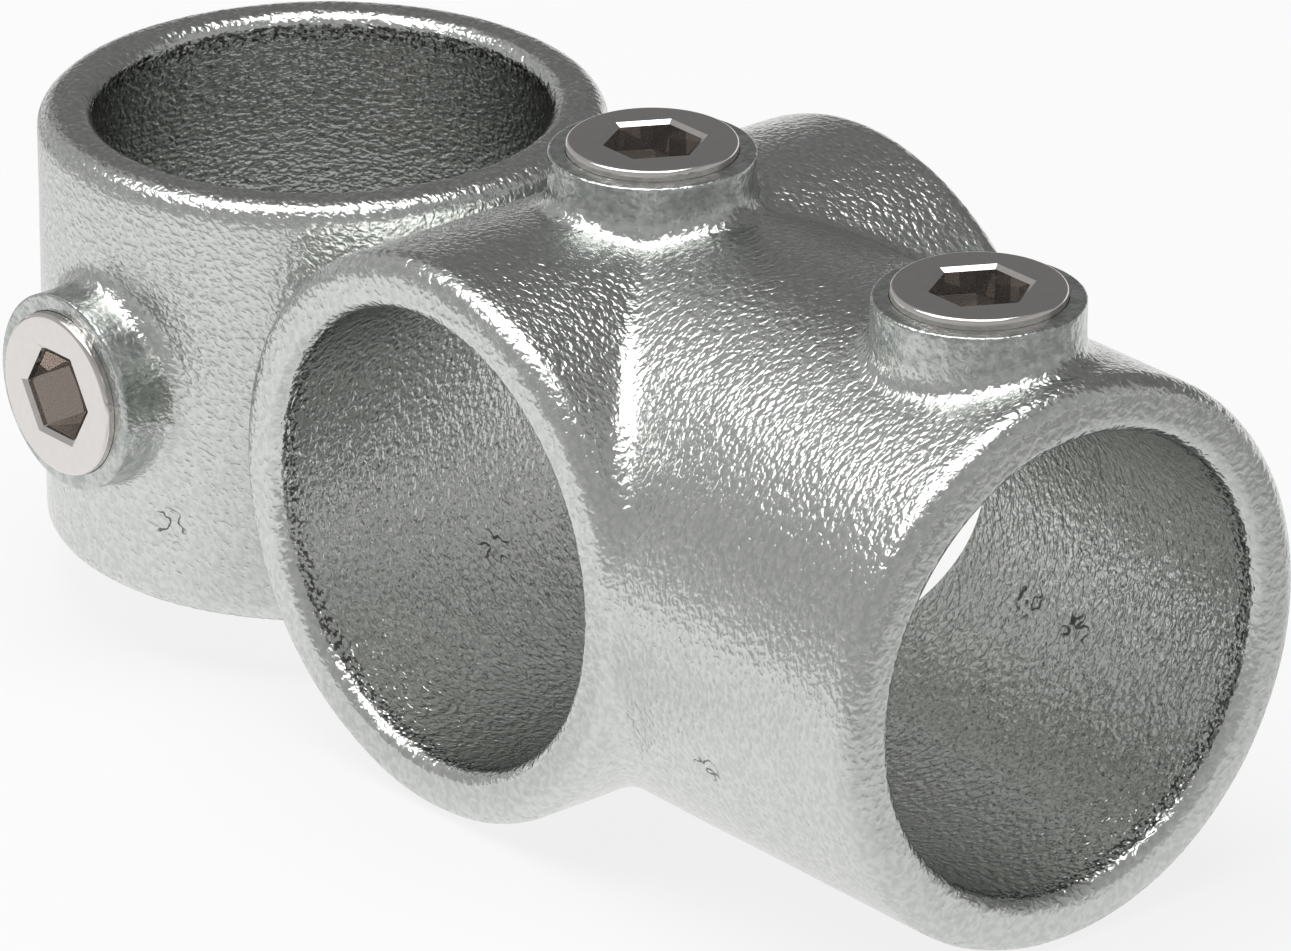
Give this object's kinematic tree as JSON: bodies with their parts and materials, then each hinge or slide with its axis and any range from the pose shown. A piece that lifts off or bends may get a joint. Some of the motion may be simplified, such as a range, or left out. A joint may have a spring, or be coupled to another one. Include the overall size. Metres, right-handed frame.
{
  "type": "cross tee tube clamp",
  "caption": "Cast tube clamp: a rail sleeve crosses an upright sleeve and carries a side socket at a right angle, each sleeve held by a hexagon socket set screw.",
  "frame": {"origin": "where the axes of the rail sleeve and the side socket cross", "axes": "+X along the rail tube, -Y along the socket's tube out of its mouth, +Z along the upright tube and out through the bosses of the rail and the socket"},
  "size_m": [0.0602, 0.1347, 0.06],
  "materials": {
    "galvanised_iron": "hot dip galvanised, orange peel grain",
    "screw_steel": "smooth, plated"
  },
  "bodies": {
    "casting": {"casting": "galvanised_iron"},
    "rail_screw": {"set_screw_rail": "screw_steel"},
    "socket_screw": {"set_screw_socket": "screw_steel"},
    "upright_screw": {"set_screw_upright": "screw_steel"}
  },
  "joints": [
    {"name": "rail_screw_travel", "type": "slide", "parent": "casting", "child": "rail_screw", "axis": [0, 0, -1], "range_m": [-0.008, 0.0017]},
    {"name": "socket_screw_travel", "type": "slide", "parent": "casting", "child": "socket_screw", "axis": [0, 0, -1], "range_m": [-0.008, 0.0017]},
    {"name": "upright_screw_travel", "type": "slide", "parent": "casting", "child": "upright_screw", "axis": [1, 0, 0], "range_m": [-0.008, 0.0017]}
  ]
}
